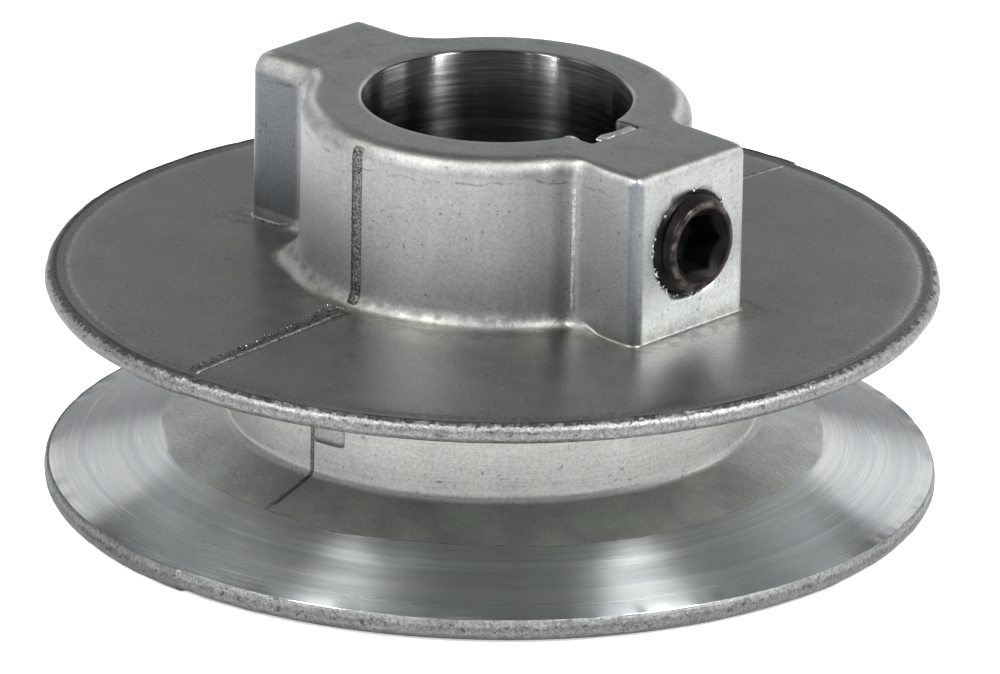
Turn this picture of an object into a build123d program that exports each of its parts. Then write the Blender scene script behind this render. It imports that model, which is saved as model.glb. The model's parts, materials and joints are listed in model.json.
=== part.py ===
from build123d import *
import os
from math import cos, radians, sin, tan

# Die-cast single-groove V-belt pulley with a raised hub, two lugs and one socket set screw.
# The origin is on the bore axis at the flat back face, +Z runs towards the hub end,
# and +X points through the lug that carries the set screw.

# Driving dimensions, mm
rim_diameter = 63.5            # outside diameter, 2-1/2 in
lower_rim_thickness = 1.9      # each rim ends in a full round of its thickness
upper_rim_thickness = 1.5
rim_spacing = 14.5             # from the centre of one rim to the centre of the other
groove_angle = 34.0            # included angle of the V groove
neck_diameter = 37.6           # bottom of the groove
neck_fillet = 0.7
web_slope = 1.5                # degrees that the hub-side face rises towards the hub

hub_diameter = 27.6
hub_height = 29.0              # back face to hub end
hub_root = 12.0                # the hub is fused into the web from this height up
hub_end_fillet = 0.95
hub_base_fillet = 1.0

screw_lug_reach = 18.85        # bore axis to the flat outer face of the lug with the screw
plain_lug_reach = 19.2
lug_width = 11.3               # across those faces
lug_draft = 1.0                # degrees that each side leans outwards towards the hub
screw_lug_corner = 0.7
plain_lug_corner = 1.4
lug_root_fillet = 1.6

bore_diameter = 19.05          # 3/4 in shaft
bore_edge = 0.08               # broken edge at each end
key_width = 4.76               # 3/16 in key
key_depth = 1.9                # keyway depth beyond the bore

skirt_radius = 13.6            # outside of the hub where it shows in the back recess
recess_height = 9.0            # deepest point of the back recess
recess_draft = 1.5             # degrees on the recess walls
neck_wall = 1.8                # metal between the recess and the groove bottom
flange_wall = 2.2              # metal between the recess and the lower groove face
back_ring_radius = 27.6        # inside edge of the flat ring behind the lower rim
recess_fillet = 1.1
rib_count = 6
rib_thickness = 1.8
rib_setback = 0.5              # the ribs stop short of the back face

screw_diameter = 7.94          # 5/16-18 set screw, its thread drawn as a plain cylinder
screw_length = 6.35            # 1/4 in
screw_height = 23.0            # screw axis above the back face
screw_stand = 1.15             # how far it stands out of the lug
screw_clearance = 0.05         # radial gap in the tapped hole
screw_end_chamfer = 0.45
screw_point_chamfer = 1.1
cup_depth = 0.8
hex_across_flats = 3.97        # 5/32 in key
hex_depth = 3.2
cup_land = 0.3                 # flat ring round the cup
cup_bottom_radius = 0.2
socket_mouth = 5.4             # diameter of the countersink around the hexagon

overrun = 1.0                  # how far a cutting solid runs past the face that it cuts
tolerance = 0.01               # for picking edges and corners by position

# Worked out from the dimensions above
lower_round = lower_rim_thickness / 2
upper_round = upper_rim_thickness / 2
lower_centre_radius = rim_diameter / 2 - lower_round
upper_centre_radius = rim_diameter / 2 - upper_round
lower_rim_height = lower_round
upper_rim_height = lower_rim_height + rim_spacing
half_groove = radians(groove_angle / 2)
neck_radius = neck_diameter / 2
bore_radius = bore_diameter / 2
screw_radius = screw_diameter / 2
screw_tip = screw_lug_reach + screw_stand - screw_length


def tangent_radius(centre_radius, rim_round):
    """Radius at which a groove face runs into its rim's round."""
    return centre_radius + rim_round * sin(half_groove)


def lower_groove_face(radius):
    """Height of the groove's lower cone, which is tangent to the lower rim's round."""
    outer = tangent_radius(lower_centre_radius, lower_round)
    return lower_rim_height + lower_round * cos(half_groove) + (outer - radius) * tan(half_groove)


def upper_groove_face(radius):
    """Height of the groove's upper cone, which is tangent to the upper rim's round."""
    outer = tangent_radius(upper_centre_radius, upper_round)
    return upper_rim_height - upper_round * cos(half_groove) - (outer - radius) * tan(half_groove)


def turned(profile):
    """Revolve a face drawn as (radius, height) about the bore axis."""
    return revolve(Plane.XZ * profile, axis=Axis.Z)


def sheave():
    """The two flanges and the neck between them, with rounded rims."""
    lower_outer = tangent_radius(lower_centre_radius, lower_round)
    upper_outer = tangent_radius(upper_centre_radius, upper_round)
    rise = tan(radians(web_slope))
    rim_top = upper_rim_height + upper_round
    outline = Polyline(
        (0, 0),
        (lower_centre_radius, 0),
        (lower_centre_radius, lower_rim_height),
        (lower_outer, lower_groove_face(lower_outer)),
        (neck_radius, lower_groove_face(neck_radius)),
        (neck_radius, upper_groove_face(neck_radius)),
        (upper_outer, upper_groove_face(upper_outer)),
        (upper_centre_radius, upper_rim_height),
        (upper_centre_radius, rim_top),
        (0, rim_top + upper_centre_radius * rise),
        close=True,
    )
    profile = make_face(outline)
    neck_corners = profile.vertices().filter_by(lambda v: abs(v.X - neck_radius) < tolerance)
    profile = fillet(neck_corners, neck_fillet)
    profile += Pos(lower_centre_radius, lower_rim_height) * Circle(lower_round)
    profile += Pos(upper_centre_radius, upper_rim_height) * Circle(upper_round)
    return turned(profile)


def back_recess():
    """The ring-shaped hollow cored into the back, divided by radial ribs."""
    lean = tan(radians(recess_draft))
    neck_inside = neck_radius - neck_wall
    shoulder = lower_groove_face(neck_inside) - flange_wall
    outline = Polyline(
        (skirt_radius, -overrun),
        (skirt_radius, 0),
        (skirt_radius + recess_height * lean, recess_height),
        (neck_inside - (recess_height - shoulder) * lean, recess_height),
        (neck_inside, shoulder),
        (back_ring_radius, lower_groove_face(back_ring_radius) - flange_wall),
        (back_ring_radius, -overrun),
        close=True,
    )
    profile = make_face(outline)
    top_corners = profile.vertices().filter_by(lambda v: v.Y > recess_height - tolerance)
    profile = fillet(top_corners, recess_fillet)
    shoulder_corner = profile.vertices().filter_by(lambda v: abs(v.Y - shoulder) < tolerance)
    profile = fillet(shoulder_corner, recess_fillet)
    recess = turned(profile)
    rib = Box(
        neck_radius,
        rib_thickness,
        recess_height,
        align=(Align.MIN, Align.CENTER, Align.MIN),
    )
    for index in range(rib_count):
        place = Pos(skirt_radius - overrun, 0, rib_setback)
        recess -= Rot(0, 0, index * 360 / rib_count) * place * rib
    return recess


def lug_outline(reach, corner):
    """Plan of a lug along +X: a wedge that widens slightly towards the hub."""
    half_tip = lug_width / 2
    half_root = half_tip + reach * tan(radians(lug_draft))
    outline = Polyline(
        (0, -half_root),
        (reach, -half_tip),
        (reach, half_tip),
        (0, half_root),
        close=True,
    )
    lug = make_face(outline)
    return fillet(lug.vertices().filter_by(lambda v: v.X > reach - tolerance), corner)


def hub():
    """The round hub with its two opposed lugs, rounded at the free end."""
    plan = Circle(hub_diameter / 2)
    plan += lug_outline(screw_lug_reach, screw_lug_corner)
    plan += Rot(0, 0, 180) * lug_outline(plain_lug_reach, plain_lug_corner)
    inner_corners = plan.vertices().filter_by(
        lambda v: abs(Vector(v.X, v.Y).length - hub_diameter / 2) < tolerance
    )
    plan = fillet(inner_corners, lug_root_fillet)
    solid = extrude(Pos(0, 0, hub_root) * plan, hub_height - hub_root)
    return fillet(solid.faces().sort_by(Axis.Z)[-1].edges(), hub_end_fillet)


def keyway():
    """The key's slot, open to the bore over its whole length."""
    return Box(
        bore_radius + key_depth,
        key_width,
        hub_height + 2 * overrun,
        align=(Align.MIN, Align.CENTER, Align.CENTER),
    ).moved(Location((0, 0, hub_height / 2)))


def along_x(solid, start):
    """Turn a solid built along +Z so that it runs along +X from start, at the screw's height."""
    return Pos(start, 0, screw_height) * Rot(0, 90, 0) * solid


def shaft_bore():
    """The bore with a small broken edge at each end."""
    upright = (Align.CENTER, Align.CENTER, Align.MIN)
    bore = Cylinder(bore_radius, hub_height, align=upright)
    edge = Cone(bore_radius + bore_edge, bore_radius, bore_edge, align=upright)
    bore += edge
    bore += Pos(0, 0, hub_height) * Rot(180, 0, 0) * edge
    return bore


def pulley_body():
    """The casting: sheave, hub and lugs, bored, keyed, drilled for the screw and cored behind."""
    casting = sheave() + hub()
    web_top = upper_rim_height + upper_round
    base_edges = casting.edges().filter_by(
        lambda e: web_top < e.center().Z < hub_height - 2 * hub_end_fillet
        and e.bounding_box().size.Z < hub_base_fillet
        and Vector(e.center().X, e.center().Y).length < plain_lug_reach + overrun
    )
    casting = fillet(base_edges, hub_base_fillet)
    casting -= back_recess()
    casting -= shaft_bore()
    casting -= keyway()
    screw_hole = Cylinder(
        screw_radius + screw_clearance,
        screw_lug_reach + overrun,
        align=(Align.CENTER, Align.CENTER, Align.MIN),
    )
    casting -= along_x(screw_hole, 0)
    return casting


def set_screw():
    """Headless screw with a cup point towards the shaft and a hexagon socket outside."""
    upright = (Align.CENTER, Align.CENTER, Align.MIN)
    shank = Cylinder(screw_radius, screw_length, align=upright)
    shank = chamfer(shank.edges().group_by(Axis.Z)[-1], screw_end_chamfer)
    shank = chamfer(shank.edges().group_by(Axis.Z)[0], screw_point_chamfer)
    cup_radius = screw_radius - screw_point_chamfer - cup_land
    cup = Cone(cup_radius, cup_bottom_radius, cup_depth, align=upright)
    flats = RegularPolygon(hex_across_flats / 2, 6, major_radius=False, rotation=30)
    socket = extrude(Pos(0, 0, screw_length - hex_depth) * flats, hex_depth)
    mouth_depth = (socket_mouth - hex_across_flats) / 2
    mouth = Cone(
        hex_across_flats / 2,
        socket_mouth / 2,
        mouth_depth,
        align=(Align.CENTER, Align.CENTER, Align.MAX),
    )
    shank -= cup
    shank -= socket
    shank -= Pos(0, 0, screw_length) * mouth
    return along_x(shank, screw_tip)


os.makedirs("parts", exist_ok=True)
export_step(pulley_body(), "parts/pulley_body.step")
export_step(set_screw(), "parts/set_screw.step")
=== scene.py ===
"""Looks of a die-cast single-groove V-belt pulley with a black-oxide socket set screw.

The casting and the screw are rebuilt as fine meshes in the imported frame. Lengths in the
shape functions are millimetres; a mesh is scaled to metres when it is made.
"""

import json
import math
import random

import bmesh
import bpy
import numpy as np
from mathutils import Matrix, Vector, noise


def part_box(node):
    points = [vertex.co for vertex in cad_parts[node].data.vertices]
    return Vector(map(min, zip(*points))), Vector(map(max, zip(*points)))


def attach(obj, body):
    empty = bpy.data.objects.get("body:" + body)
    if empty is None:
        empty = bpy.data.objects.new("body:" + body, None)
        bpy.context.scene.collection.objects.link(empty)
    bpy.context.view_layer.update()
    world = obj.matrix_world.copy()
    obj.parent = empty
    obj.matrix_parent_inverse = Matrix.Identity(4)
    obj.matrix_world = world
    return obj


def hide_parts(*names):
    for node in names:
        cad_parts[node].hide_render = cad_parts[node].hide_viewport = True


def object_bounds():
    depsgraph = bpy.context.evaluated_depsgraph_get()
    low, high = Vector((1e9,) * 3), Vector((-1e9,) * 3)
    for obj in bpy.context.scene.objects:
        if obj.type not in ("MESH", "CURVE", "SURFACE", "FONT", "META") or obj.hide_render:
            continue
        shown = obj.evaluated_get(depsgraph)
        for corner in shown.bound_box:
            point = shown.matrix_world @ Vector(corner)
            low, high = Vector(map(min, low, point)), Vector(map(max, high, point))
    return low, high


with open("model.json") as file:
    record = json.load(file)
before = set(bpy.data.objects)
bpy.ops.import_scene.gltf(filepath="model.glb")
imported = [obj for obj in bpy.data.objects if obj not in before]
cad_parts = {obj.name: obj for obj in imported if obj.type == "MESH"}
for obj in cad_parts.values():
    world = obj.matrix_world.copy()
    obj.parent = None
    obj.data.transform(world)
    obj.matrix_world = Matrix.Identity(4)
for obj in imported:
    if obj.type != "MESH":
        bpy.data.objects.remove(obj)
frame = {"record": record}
cad_low, cad_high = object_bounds()

MM = 0.001

# Sizes read from the frame
rim_radius = cad_high.x / MM
hub_height = cad_high.z / MM
mounts = {mount["name"]: mount for mount in frame["record"]["mounts"]}
bore_radius = mounts["shaft_bore"]["dims"]["r_mm"]
screw_low, screw_high = (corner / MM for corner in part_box("set_screw"))
screw_tip = screw_low.x
screw_end = screw_high.x
screw_height = (screw_low.z + screw_high.z) / 2
screw_radius = (screw_high.z - screw_low.z) / 2

# The casting's other sizes, as in its CAD model
lower_round = 0.95
upper_round = 0.75
rim_spacing = 14.5
half_groove = math.radians(17)
neck_radius = 18.8
web_slope = math.radians(1.5)
hub_radius = 13.8
screw_lug_reach = 18.85
plain_lug_reach = 19.2
lug_half_width = 5.65
lug_draft = math.radians(1)
screw_lug_corner = 0.7
plain_lug_corner = 1.4
key_half_width = 2.38
key_floor = bore_radius + 1.9
skirt_radius = 13.6
recess_height = 9.0
recess_draft = math.radians(1.5)
neck_wall = 1.8
flange_wall = 2.2
back_ring_radius = 27.6
rib_half = 0.9
rib_setback = 0.5
rib_count = 6

# Its small roundings, finer than in the CAD model
neck_fillet = 0.5
lug_root_fillet = 1.1
hub_end_round = 1.4            # rounding of the hub's free end on its round wall
screw_end_round = 0.8          # on the lug with the screw
plain_end_round = 1.6          # and on the plain lug
hub_foot_round = 1.3           # fillet at the foot of the round wall
lug_foot_round = 0.22          # and at the foot of the lugs
crisp_corner = 0.9             # from the lower rim's centre out to the turned face's corner
edge_break = 0.12              # broken edge at each end of the bore
key_corner = 0.12

lower_centre = rim_radius - lower_round
upper_centre = rim_radius - upper_round
lower_rim = lower_round
upper_rim = lower_rim + rim_spacing

# The parting line, in degrees from +X
hub_seam_angle = -91.3
neck_seam_angle = -88.5
die_step_plus_x = 0.11         # how far each die half's rims stand out, in mm
die_step_minus_x = -0.07

# The screw's thread
pitch = 1.411
thread_depth = 0.78
thread_gap = 0.07              # radial gap between the screw's roots and the hole's crests
thread_steps = 16              # stations for each turn
thread_start = screw_tip + 0.1


# ---------------------------------------------------------------- shape helpers

def mesh_object(name, points, faces):
    """A smooth-shaded mesh object from points in millimetres."""
    mesh = bpy.data.meshes.new(name)
    mesh.from_pydata([tuple(p) for p in np.asarray(points) * MM], [], [tuple(f) for f in faces])
    mesh.validate()
    obj = bpy.data.objects.new(name, mesh)
    bpy.context.scene.collection.objects.link(obj)
    mesh.polygons.foreach_set("use_smooth", [True] * len(mesh.polygons))
    return obj


def grid_faces(rows, columns, close_rows=False):
    """Quads over a grid whose columns run round a closed ring."""
    row = np.arange(rows if close_rows else rows - 1)[:, None]
    column = np.arange(columns)[None, :]
    below, beside = (row + 1) % rows, (column + 1) % columns
    corners = [
        row * columns + column,
        row * columns + beside,
        below * columns + beside,
        below * columns + column,
    ]
    return np.stack([np.broadcast_to(c, (len(row), columns)) for c in corners], -1).reshape(-1, 4)


def smooth_step(value, start, end):
    """0 up to start, 1 from end on, and smooth between them."""
    t = np.clip((value - start) / (end - start), 0, 1)
    return t * t * (3 - 2 * t)


def bump_at(angle, centre, width):
    """1 at an angle in degrees, falling to 0 within width of it."""
    away = np.abs((angle - centre + 180) % 360 - 180)
    return 1 - smooth_step(away, 0, width)


def rough(points, size, seed, octaves=2):
    """Smooth noise from -1 to 1 at each point, with lumps of about that size in millimetres."""
    shift = Vector((seed * 7.31, seed * 3.17, seed * 5.73))
    values = []
    for x, y, z in points:
        place = Vector((x / size, y / size, z / size)) + shift
        total, weight = noise.noise(place), 1.0
        for octave in range(1, octaves):
            total += noise.noise(place * 2**octave) / 2**octave
            weight += 1 / 2**octave
        values.append(total / weight)
    return np.array(values)


def rounded_box_distance(x, y, half_x, half_y, corner):
    """Distance outside a rectangle with rounded corners."""
    dx = np.abs(x) - half_x + corner
    dy = np.abs(y) - half_y + corner
    outside = np.hypot(np.maximum(dx, 0), np.maximum(dy, 0))
    return outside + np.minimum(np.maximum(dx, dy), 0) - corner


def hub_distance(x, y):
    """Distance outside the hub's plan: a circle and two lugs with rounded inside corners."""
    circle = np.hypot(x, y) - hub_radius
    reach = np.where(x > 0, screw_lug_reach, plain_lug_reach)
    corner = np.where(x > 0, screw_lug_corner, plain_lug_corner)
    lean = (reach - np.abs(x)) * math.tan(lug_draft)
    lugs = rounded_box_distance(x, np.maximum(np.abs(y) - lean, 0), reach, lug_half_width, corner)
    near_circle = np.maximum(lug_root_fillet - circle, 0)
    near_lugs = np.maximum(lug_root_fillet - lugs, 0)
    closest = np.maximum(lug_root_fillet, np.minimum(circle, lugs))
    return closest - np.hypot(near_circle, near_lugs)


def bore_distance(x, y):
    """Distance outside the bore and its keyway."""
    circle = np.hypot(x, y) - bore_radius
    slot = rounded_box_distance(x - key_floor / 2, y, key_floor / 2, key_half_width, key_corner)
    return np.minimum(circle, slot)


inside_bore, outside_lugs = 5.0, 26.0  # radii on either side of every edge that is looked for
halvings = 36


def radius_at(distance, angles, offset=0.0):
    """Along each ray from the axis, the radius where the distance equals offset."""
    low = np.full_like(angles, inside_bore)
    high = np.full_like(angles, outside_lugs)
    for _ in range(halvings):
        middle = (low + high) / 2
        inside = distance(middle * np.cos(angles), middle * np.sin(angles)) < offset
        low, high = np.where(inside, middle, low), np.where(inside, high, middle)
    return (low + high) / 2


neck_edge = neck_radius + neck_fillet * 0.95  # where the neck's fillets run into the groove faces
lower_outer = lower_centre + lower_round * math.sin(half_groove)
upper_outer = upper_centre + upper_round * math.sin(half_groove)


def lower_face(radius):
    """Height of the groove's lower face."""
    edge = lower_rim + lower_round * math.cos(half_groove)
    return edge + (lower_outer - radius) * math.tan(half_groove)


def upper_face(radius):
    """Height of the groove's upper face."""
    edge = upper_rim - upper_round * math.cos(half_groove)
    return edge - (upper_outer - radius) * math.tan(half_groove)


def web_face(radius):
    """Height of the upper flange's hub-side face, with a shallow trough inside the rim's lip."""
    depth, inset, width = 0.1, 0.55, 0.32
    trough = depth * np.exp(-((radius - upper_centre + inset) / width) ** 2)
    return upper_rim + upper_round + (upper_centre - radius) * math.tan(web_slope) - trough


def web_height(radius):
    """That face's height at one radius, as a plain number."""
    return float(web_face(np.array(radius)))


def direction(angle):
    """The unit vector away from the axis at an angle in radians."""
    return np.array([math.cos(angle), math.sin(angle), 0.0])


# ---------------------------------------------------------------- the casting

def column_angles():
    """Angles of the mesh's columns, closer together at the lugs' sides and at the parting line."""
    fine, coarse, last_gap = 0.36, 0.9, 0.2
    lug_side_start, lug_side_end, seam_reach = 11, 28, 3.5
    angles, angle = [], 0.0
    while angle < 360 - last_gap:
        angles.append(angle)
        off_lug = min(angle % 180, 180 - angle % 180)
        at_side = lug_side_start < off_lug < lug_side_end
        at_seam = min(abs(angle - 90), abs(angle - 270)) < seam_reach
        angle += fine if at_side or at_seam else coarse
    return np.radians(angles)


def casting_rings(angles):
    """Closed rings round the axis, from the bore's hub end over the outside and back up the bore.

    Returns the rings as (radius, height) pairs of arrays, the region that starts at each, and
    the first and last ring of the back recess.
    """
    degrees = np.degrees(angles)
    one = np.ones_like(angles)
    rings, regions = [], []

    def add(radius, height, region):
        rings.append((radius * one, height * one))
        regions.append(region)

    def line(start, end, count, region):
        for t in np.linspace(0, 1, count, endpoint=False):
            add(start[0] + (end[0] - start[0]) * t, start[1] + (end[1] - start[1]) * t, region)

    def bend(start, corner, end, count, region):
        for t in np.linspace(0, 1, count, endpoint=False):
            shares = ((1 - t) ** 2, 2 * t * (1 - t), t * t)
            nodes = (start, corner, end)
            add(*(sum(w * node[k] for w, node in zip(shares, nodes)) for k in (0, 1)), region)

    def rim(centre, size, height, start, end, count):
        for a in np.radians(np.linspace(start, end, count, endpoint=False)):
            add(centre + size * math.cos(a), height + size * math.sin(a), "rim")

    # the plan's roundings change round the hub: small at the screw's lug, larger elsewhere
    plain = radius_at(hub_distance, angles)
    on_lug = smooth_step(plain, hub_radius + 0.6, hub_radius + 3.0)
    at_screw = (np.cos(angles) > 0).astype(float)
    lug_end_round = screw_end_round * at_screw + plain_end_round * (1 - at_screw)
    end_fillet = hub_end_round + on_lug * (lug_end_round - hub_end_round)
    # the foot's fillet is heavier in the corner beside the plain lug
    heavier = 0.9 * bump_at(degrees, 222, 17) * (1 - on_lug)
    base_fillet = hub_foot_round - (hub_foot_round - lug_foot_round) * on_lug + heavier
    mouth = radius_at(bore_distance, angles, edge_break)

    # hub end, its rounded edge and the hub's side
    line((mouth, hub_height), (radius_at(hub_distance, angles, -end_fillet), hub_height), 6, "top")
    for a in np.radians(np.linspace(90, 0, 6, endpoint=False)):
        radius = radius_at(hub_distance, angles, -end_fillet * (1 - math.cos(a)))
        add(radius, hub_height - end_fillet * (1 - math.sin(a)), "wall")
    foot = radius_at(hub_distance, angles, base_fillet)
    foot_height = web_face(foot)
    line((plain, hub_height - end_fillet), (plain, foot_height + base_fillet), 11, "wall")
    for a in np.radians(np.linspace(0, 90, 6, endpoint=False)):
        radius = radius_at(hub_distance, angles, base_fillet * (1 - math.cos(a)))
        add(radius, foot_height + base_fillet * (1 - math.sin(a)), "wall")

    # hub-side face of the upper flange, and its rim
    reach = upper_centre - foot
    for t in (0, 0.12, 0.26, 0.42, 0.58, 0.74, 0.86):
        add(foot + reach * t, web_face(foot + reach * t), "web")
    for inset in (1.05, 0.8, 0.62, 0.48, 0.3, 0.12):
        add(upper_centre - inset, web_face(upper_centre - inset), "web")
    rim(upper_centre, upper_round, upper_rim, 90, -73, 13)

    # the groove
    def on_upper_face(radius):
        return radius, upper_face(radius)

    def on_lower_face(radius):
        return radius, lower_face(radius)

    neck_high, neck_low = upper_face(neck_radius), lower_face(neck_radius)
    neck_start, neck_end = neck_high - neck_fillet, neck_low + neck_fillet
    line(on_upper_face(upper_outer), on_upper_face(neck_edge), 8, "cone")
    bend(on_upper_face(neck_edge), (neck_radius, neck_high), (neck_radius, neck_start), 4, "neck")
    line((neck_radius, neck_start), (neck_radius, neck_end), 6, "neck")
    bend((neck_radius, neck_end), (neck_radius, neck_low), on_lower_face(neck_edge), 4, "neck")
    # the turned face runs out to a crisp corner before the lower rim's round, and its last ring
    # is a narrow one, so that the face's shading stays flat right up to the corner
    corner = on_lower_face(lower_centre + crisp_corner)
    before = on_lower_face(corner[0] - 0.22)
    nearly = on_lower_face(before[0] - 0.06)
    side = 20
    a = math.radians(side)
    after = (lower_centre + lower_round * math.cos(a), lower_rim + lower_round * math.sin(a))
    line(on_lower_face(neck_edge), nearly, 10, "cone")
    line(nearly, before, 1, "cone")
    bend(before, corner, after, 5, "rim")
    rim(lower_centre, lower_round, lower_rim, side, -90, 9)

    # the back: flat ring, ribbed recess and the hub's back end
    line((lower_centre, 0), (back_ring_radius + 0.15, 0), 3, "back")
    first_recess = len(rings)
    lean = math.tan(recess_draft)
    neck_inside = neck_radius - neck_wall
    shoulder = lower_face(neck_inside) - flange_wall
    step_height = lower_face(back_ring_radius) - flange_wall
    line((back_ring_radius + 0.1, 0.05), (back_ring_radius, step_height), 2, "back")
    slope_head = (neck_inside + 0.9, shoulder - 0.28)
    line((back_ring_radius - 0.1, step_height + 0.05), slope_head, 5, "back")
    wall_foot = (neck_inside - 0.03, shoulder + 0.9)
    bend(slope_head, (neck_inside, shoulder), wall_foot, 4, "back")
    wall_head = (neck_inside - (recess_height - shoulder) * lean, recess_height - 1.0)
    line(wall_foot, wall_head, 3, "back")
    skirt_head = (skirt_radius + recess_height * lean, recess_height - 1.0)
    half = (wall_head[0] - skirt_head[0]) / 2
    for a in np.radians(np.linspace(0, 180, 7, endpoint=False)):
        add(skirt_head[0] + half * (1 + math.cos(a)), wall_head[1] + math.sin(a), "back")
    line(skirt_head, (skirt_radius, 0.15), 4, "back")
    last_recess = len(rings)
    line((skirt_radius - 0.15, 0), (mouth, 0), 4, "back")

    # the bore
    inside = radius_at(bore_distance, angles)
    line((inside, edge_break), (inside, hub_height - edge_break), 6, "bore")
    add(inside, hub_height - edge_break, "edge")
    return rings, regions, (first_recess, last_recess)


def shape_ribs(radius, height, angles, recess):
    """Bring the recess rings down over the ribs, whose parallel sides the columns follow."""
    first, last = recess
    spacing = 2 * math.pi / rib_count
    nearest = np.round(angles / spacing) * spacing
    offset = angles - nearest
    middle_radius, side_gap = 19.0, 0.08
    on_rib = np.abs(offset) < math.asin(rib_half / middle_radius)
    turned = np.tile(angles, (len(radius), 1))
    for side in (-1, 1):
        mine = np.sign(offset) == side
        edge = np.abs(offset[mine & on_rib]).max()
        outer = np.abs(offset[mine & ~on_rib]).min()
        for i in range(first - 3, last + 3):
            share = 1.0 if first <= i < last else 0.5
            half = np.arcsin(rib_half / radius[i])
            inside = np.abs(offset) / edge * half
            wall = half + side_gap / radius[i]
            share_out = (np.abs(offset) - outer) / (spacing / 2 - outer)
            outside = wall + share_out * (spacing / 2 - wall)
            moved = nearest + side * np.where(on_rib, inside, outside)
            turned[i] = np.where(mine, angles + (moved - angles) * share, turned[i])
    rib_edge = np.abs(offset) > np.abs(offset[on_rib]).max() * 0.8
    edge_round = 0.12
    limit = np.where(rib_edge, rib_setback + edge_round, rib_setback)
    for i in range(first, last):
        height[i] = np.where(on_rib, np.minimum(height[i], limit), height[i])
    return turned


def casting():
    """The whole casting as one closed grid of rings, with the unevenness of a die casting."""
    angles = column_angles()
    rings, regions, recess = casting_rings(angles)
    radius = np.array([r for r, _ in rings])
    height = np.array([h for _, h in rings])
    turned = shape_ribs(radius, height, angles, recess)
    rows, columns = radius.shape
    points = np.stack([radius * np.cos(turned), radius * np.sin(turned), height], -1)

    # outward normals of the grid, to push the cast skin in and out along
    along = np.roll(points, -1, 0) - np.roll(points, 1, 0)
    around = np.roll(points, -1, 1) - np.roll(points, 1, 1)
    normals = np.cross(around, along)
    normals /= np.maximum(np.linalg.norm(normals, axis=-1, keepdims=True), 1e-9)

    # how far the skin of each region strays: broad waves, then small lumps
    skins = ("top", "wall", "web", "rim", "cone", "neck", "back")
    waves = dict(zip(skins, (0.018, 0.03, 0.02, 0.06, 0.02, 0.03, 0.025)))
    lumps = dict(zip(skins, (0.004, 0.01, 0.004, 0.05, 0.01, 0.01, 0.01)))
    wave_size, lump_size = 4.5, 1.1
    flat = points.reshape(-1, 3)
    wave = rough(flat, wave_size, 1).reshape(rows, columns)
    lump = rough(flat, lump_size, 2).reshape(rows, columns)
    die_step = np.where(np.cos(angles) > 0, die_step_plus_x, die_step_minus_x)
    for i, region in enumerate(regions):
        near = {region, regions[i - 1]}
        if near & {"bore", "edge"} or "cone" in near and "rim" not in near:
            continue
        push = wave[i] * waves[region] + lump[i] * lumps[region]
        if near == {"rim"}:
            push = push + die_step
        points[i] += normals[i] * push[:, None]

    # nothing goes below the back face
    points[..., 2] = np.maximum(points[..., 2], 0)

    faces = grid_faces(rows, columns, close_rows=True)
    obj = mesh_object("pulley_casting", points.reshape(-1, 3), faces)
    slots = {"cone": 1, "bore": 2, "edge": 2, "rim": 3}
    indices = np.repeat([slots.get(region, 0) for region in regions], columns)
    obj.data.polygons.foreach_set("material_index", indices)
    return obj


# ---------------------------------------------------------------- screw threads

def thread_radius(along, turn, crest, root):
    """Radius of a right-hand thread at a place along its axis and a turn in radians."""
    flat_root, flank = 0.12, 0.7
    phase = (along / pitch - turn / (2 * math.pi)) % 1.0
    rise = 1 - np.abs(2 * phase - 1)
    return root + (crest - root) * np.clip((rise - flat_root) / flank, 0, 1)


def round_bar(name, stations, radius, columns):
    """A closed bar along +X at the screw's height. radius(index, x, turn) gives its outline."""
    turn = np.linspace(0, 2 * math.pi, columns, endpoint=False)
    points = []
    for index, x in enumerate(stations):
        size = radius(index, x, turn)
        y, z = size * np.cos(turn), screw_height + size * np.sin(turn)
        points.append(np.stack([np.full(columns, x), y, z], -1))
    rows = len(points)
    points = np.concatenate(points)
    faces = [tuple(f) for f in grid_faces(rows, columns)]
    points = np.vstack([points, [stations[0], 0, screw_height], [stations[-1], 0, screw_height]])
    first, last = len(points) - 2, len(points) - 1
    base = (rows - 1) * columns
    for j in range(columns):
        k = (j + 1) % columns
        faces.append((first, k, j))
        faces.append((last, base + j, base + k))
    return mesh_object(name, points, faces)


def tapped_hole_cutter():
    """A threaded bar that cuts the tapped hole, with a slightly flared mouth.

    It starts whole turns before the screw's thread, so that both threads have the same stations
    and keep the same gap everywhere.
    """
    turns_before = 5
    stations = np.arange(
        thread_start - turns_before * pitch, screw_lug_reach + 0.9, pitch / thread_steps
    )
    crest, root = screw_radius + 0.04, screw_radius - thread_depth + thread_gap

    def outline(_, x, turn):
        size = thread_radius(x, turn, crest, root)
        flare = screw_radius - 0.1 + (x - screw_lug_reach)
        return np.maximum(size, flare) if x > screw_lug_reach - 0.5 else size

    return round_bar("hole_cutter", stations, outline, 96)


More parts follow.
